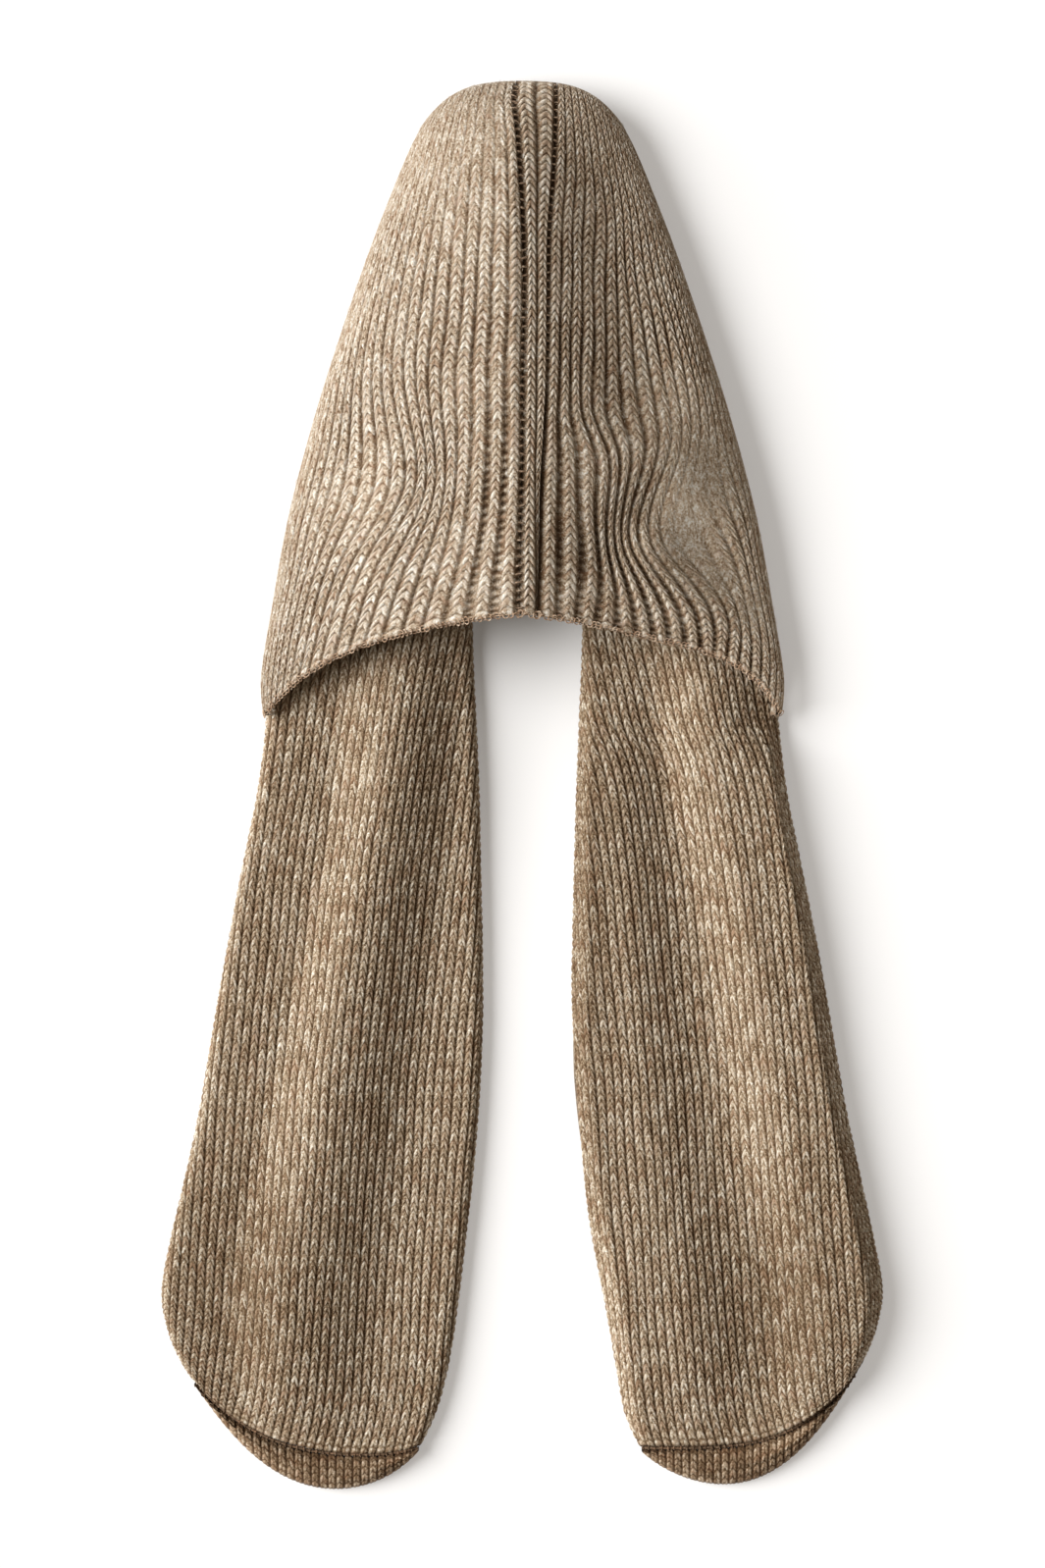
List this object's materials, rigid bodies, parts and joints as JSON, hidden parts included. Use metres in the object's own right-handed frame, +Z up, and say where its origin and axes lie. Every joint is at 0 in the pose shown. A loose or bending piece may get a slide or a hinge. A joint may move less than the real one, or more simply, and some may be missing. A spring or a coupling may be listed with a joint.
{
  "type": "hooded scarf",
  "caption": "Knitted hooded scarf lying flat: ribbed hood with a centre seam band, and two long plain-knit scarf tails with turned-up rounded toes.",
  "frame": {"origin": "on the surface that the garment lies on, at the middle of its length and width", "axes": "+Z up from the surface to the back of the hood, +Y towards the crown, +X to the right of the view from above"},
  "size_m": [0.4855, 0.9481, 0.0849],
  "materials": {
    "rib_knit": "matte heathered wool, thick rib knit",
    "plain_knit": "matte heathered wool, plain knit"
  },
  "bodies": {
    "root": {"hood_left": "rib_knit", "hood_right": "rib_knit", "seam_band": "rib_knit", "scarf_left": "plain_knit", "scarf_right": "plain_knit", "toe_left": "plain_knit", "toe_right": "plain_knit"}
  },
  "joints": []
}
